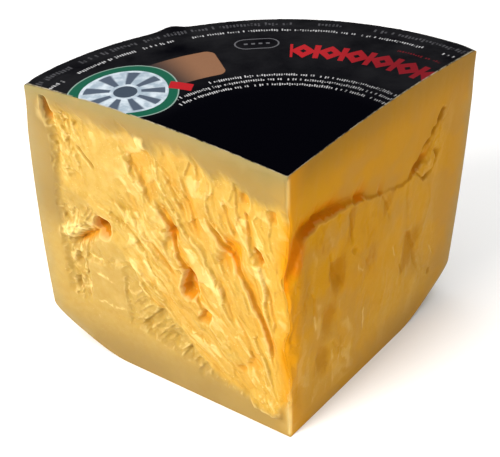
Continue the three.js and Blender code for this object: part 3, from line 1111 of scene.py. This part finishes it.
class Print:
    """The label's print, drawn in rings around the wheel's axis. Radii and lengths are millimetres,
    and azimuths are degrees from the back of the wedge towards +X."""

    def __init__(self, tree):
        self.tree = tree
        self.vector, (x, y, _) = place_mm(tree)
        x, y = x - PRINT_CENTRE[0], y - PRINT_CENTRE[1]
        self.radius = x.hypot(y)
        self.azimuth = x.math("ARCTAN2", y) * math.degrees(1)
        # The outer part of the film is greyer in patches: partly scuffs and dirt, partly a painted
        # reflection
        self.dust_and_sheen = self.radius.step(50, 75) * noise(self.vector, 20, 4).step(0.2, 0.7)
        self.colour = mixed(self.dust_and_sheen, srgb(1, 1, 4), srgb(17, 17, 20))

    def local(self, radius, azimuth):
        """Along and across, in millimetres, from a place on the label."""
        return (self.azimuth - azimuth) * (math.radians(1) * radius), self.radius - radius

    def ink(self, mask, colour):
        self.colour = mixed(mask, self.colour, colour)

    def lot(self, index, seed):
        """A random number from 0 to 1 for each whole number."""
        node = self.tree.nodes.new("ShaderNodeTexWhiteNoise")
        node.noise_dimensions = "1D"
        connect(index + seed, node.inputs["W"])
        return Field(node.outputs["Value"])

    def ticks(self, radius, start, end, height, pitch, colour, seed, strength):
        """A ring of short upright strokes in groups, like a border of stitches."""
        ahead, across = self.local(radius, 0)
        count = ahead / pitch
        index = count.math("FLOOR")
        part = count - index
        group = (ahead / (pitch * 7)).math("FLOOR")
        half = height * (0.25 + 0.25 * self.lot(index, seed))
        lifted = across - height * 0.25 * (self.lot(index, seed + 41) - 0.5)
        stroke = (part - 0.5).size().step(0.36, 0.22) * (lifted.size() - half).step(0.15, -0.15)
        shown = self.lot(index, seed + 17).step(0.14, 0.16)
        shown = shown * self.lot(group, seed + 5).step(0.05, 0.06)
        span = self.azimuth.step(start - 0.3, start) * self.azimuth.step(end + 0.3, end)
        wear = noise(self.vector, 1.6, 3, 0.7).step(0.32, 0.55)
        self.ink(stroke * shown * span * wear * strength, colour)


def draw_panel(art, half_length=15.0, half_width=11.5, corner=4.0):
    """A tan panel with rounded corners, which darkens to the left."""
    ahead, across = art.local(81.6, -20.6)
    beyond_x = (ahead.size() - (half_length - corner)).most(0.0)
    beyond_y = (across.size() - (half_width - corner)).most(0.0)
    tan = mixed(ahead.step(-12, 6), srgb(46, 40, 40), srgb(118, 84, 62))
    art.ink(beyond_x.hypot(beyond_y).step(corner + 0.2, corner - 0.2), tan)


def draw_medallion(art, rays=9.0):
    """A pale round medallion with a green border and a plain pattern of rays, and a red tag across
    its border."""
    ahead, across = art.local(81, -42)
    from_middle = ahead.hypot(across)
    marbled = noise(art.vector, 5).step(0.35, 0.65)
    art.ink(from_middle.step(22.9, 22.6), srgb(116, 136, 128))
    art.ink(from_middle.step(22.3, 22.0), srgb(20, 76, 58))
    pale = mixed(marbled, srgb(176, 186, 194), srgb(134, 148, 160))
    art.ink(from_middle.step(18.2, 17.9), pale)
    ray = (ahead.math("ARCTAN2", across) * rays).math("SINE").step(-0.2, 0.5)
    art.ink(from_middle.step(16.8, 16.4) * ray * from_middle.step(6.2, 6.6), srgb(66, 76, 90))
    art.ink(from_middle.step(5.0, 4.7), srgb(52, 62, 74))

    sideways = 0.66 * ahead - 0.75 * across
    back = 0.75 * ahead + 0.66 * across
    tag = (sideways - 22.5).size().step(5.4, 5.1) * (back - 7.5).size().step(3.2, 2.9)
    art.ink(tag, srgb(150, 26, 32))


def draw_oval(art, ink, radius=5.0, dot_pitch=3.2):
    """An oval outline with a row of dots."""
    ahead, across = art.local(95.5, 2)
    to_spine = (ahead.size() - 4.5).most(0.0).hypot(across)
    art.ink((to_spine - radius).size().step(0.45, 0.2), ink)
    dot = ((ahead / dot_pitch).math("FRACT") - 0.5).size().step(0.3, 0.2)
    art.ink(dot * across.size().step(0.8, 0.6) * ahead.size().step(6.5, 6.4), ink)


def draw_band(art, ink, pitch=11.5):
    """A bold band of lozenges and bars."""
    ahead, across = art.local(87.5, 10.7)
    count = ahead / pitch
    part = (count - count.math("FLOOR") - 0.5).size() * pitch
    spread = part * 1.25 + across.size()
    lozenge = spread.step(7.0, 6.7) - spread.step(2.0, 1.7)
    bar = (part - 5.4).size().step(1.0, 0.8) * across.size().step(6.6, 6.4)
    art.ink(lozenge.most(bar) * ahead.step(0.0, 0.2) * art.azimuth.step(60, 59), ink)


def label_material():
    material, tree, shader = new_material("label_film")
    art = Print(tree)
    white, grey = srgb(176, 176, 178), srgb(84, 84, 88)
    red = mixed(art.azimuth.step(12, 45), srgb(150, 26, 32), srgb(104, 18, 26))
    draw_panel(art)
    draw_medallion(art)
    draw_oval(art, grey)
    draw_band(art, red)
    faded = 0.9 - 0.45 * art.azimuth.step(5, 50)
    for border in (  # radius, start, end, height, pitch, colour, seed, strength
        (110, -60, 60, 2.4, 1.15, white, 3, 0.85),
        (117.5, -60, 60, 3.8, 1.6, grey, 11, 0.6),
        (65, -19, 60, 2.0, 1.0, white, 23, faded),
        (61, -34, 60, 2.0, 1.0, white, 37, faded),
        (57, -36, 60, 2.0, 1.0, white, 51, faded),
        (101, 38, 49, 2.0, 1.2, red, 63, 0.8),
    ):
        art.ticks(*border)
    # The film's cut edges are pale in patches
    pale_cut_edge = attribute(tree, "cut").step(0.3, 1.0) * noise(art.vector, 4).step(0.3, 0.6)
    art.ink(pale_cut_edge, srgb(150, 140, 116))
    feed(shader, {
        "Base Color": art.colour,
        "Roughness": 0.3 + 0.25 * noise(art.vector, 6, 5, 0.7),
        "Specular IOR Level": 0.004 + 0.016 * art.dust_and_sheen,
    })
    bumped(shader, noise(art.vector, 5, 4, 0.6), 0.12, 0.5)
    return material


# ------------ stage, lights and camera

FLOOR_SIZE = 6.0  # metres
LIT_HEIGHT = 70  # the height of the point that the lights shine at, in millimetres


def make_floor():
    half = FLOOR_SIZE / 2
    corners = [(-half, -half, 0), (half, -half, 0), (half, half, 0), (-half, half, 0)]
    mesh = bpy.data.meshes.new("floor")
    mesh.from_pydata(corners, [], [(0, 1, 2, 3)])
    material, _, shader = new_material("floor")
    feed(shader, {"Base Color": (0.93, 0.93, 0.93, 1), "Roughness": 0.8})
    mesh.materials.append(material)
    floor = placed("floor", mesh)


def soft_light(name, direction, distance, size, watts, colour=(1, 1, 1)):
    """A square area light that shines at the wedge from that direction."""
    light = bpy.data.lights.new(name, "AREA")
    light.shape = "SQUARE"
    light.size = size
    light.energy = watts
    light.color = colour
    lamp = placed(name, light)
    away = Vector(direction).normalized()
    lamp.location = away * distance + Vector((0, 0, LIT_HEIGHT * MM))
    lamp.rotation_mode = "QUATERNION"
    lamp.rotation_quaternion = (-away).to_track_quat("-Z", "Y")


def make_lights():
    world = bpy.data.worlds.new("studio")
    world.use_nodes = True
    background = world.node_tree.nodes["Background"]
    feed(background, {"Color": (1, 1, 1, 1), "Strength": 0.35})
    bpy.context.scene.world = world
    soft_light("key", (-0.72, -0.42, 0.60), 1.2, 0.5, 18, (1.0, 0.97, 0.92))
    soft_light("top", (0.0, 0.1, 1.0), 1.4, 1.8, 18)
    soft_light("fill", (0.8, -0.9, 0.5), 1.6, 1.0, 4, (1.0, 0.96, 0.9))


CAMERA_PLACE = (-46.6, -356.2, 333.2)  # millimetres
CAMERA_HEADING = 6.67  # degrees from +Y towards +X, seen from above
CAMERA_PITCH = -36.79
CAMERA_ROLL = -1.13


def make_camera():
    camera = bpy.data.cameras.new("camera")
    camera.sensor_width = 36
    camera.lens = 72.0
    eye = placed("camera", camera)
    eye.location = Vector(CAMERA_PLACE) * MM
    turn = Matrix.Rotation(-math.radians(CAMERA_HEADING), 4, "Z")
    pitch = Matrix.Rotation(math.radians(90 + CAMERA_PITCH), 4, "X")
    roll = Matrix.Rotation(math.radians(CAMERA_ROLL), 4, "Z")
    eye.rotation_mode = "QUATERNION"
    eye.rotation_quaternion = (turn @ pitch @ roll).to_quaternion()
    bpy.context.scene.camera = eye


# ------------ the scene

make_camera()
make_floor()
make_lights()

cheese = make_cheese()
cheese.data.materials.append(paste_material())
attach(cheese, "root")
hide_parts("cheese_wedge")

label = make_label()
label.data.materials.append(label_material())
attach(label, "root")
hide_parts("top_label")

bpy.context.scene.view_settings.view_transform = "Standard"
bpy.context.scene.view_settings.look = "None"
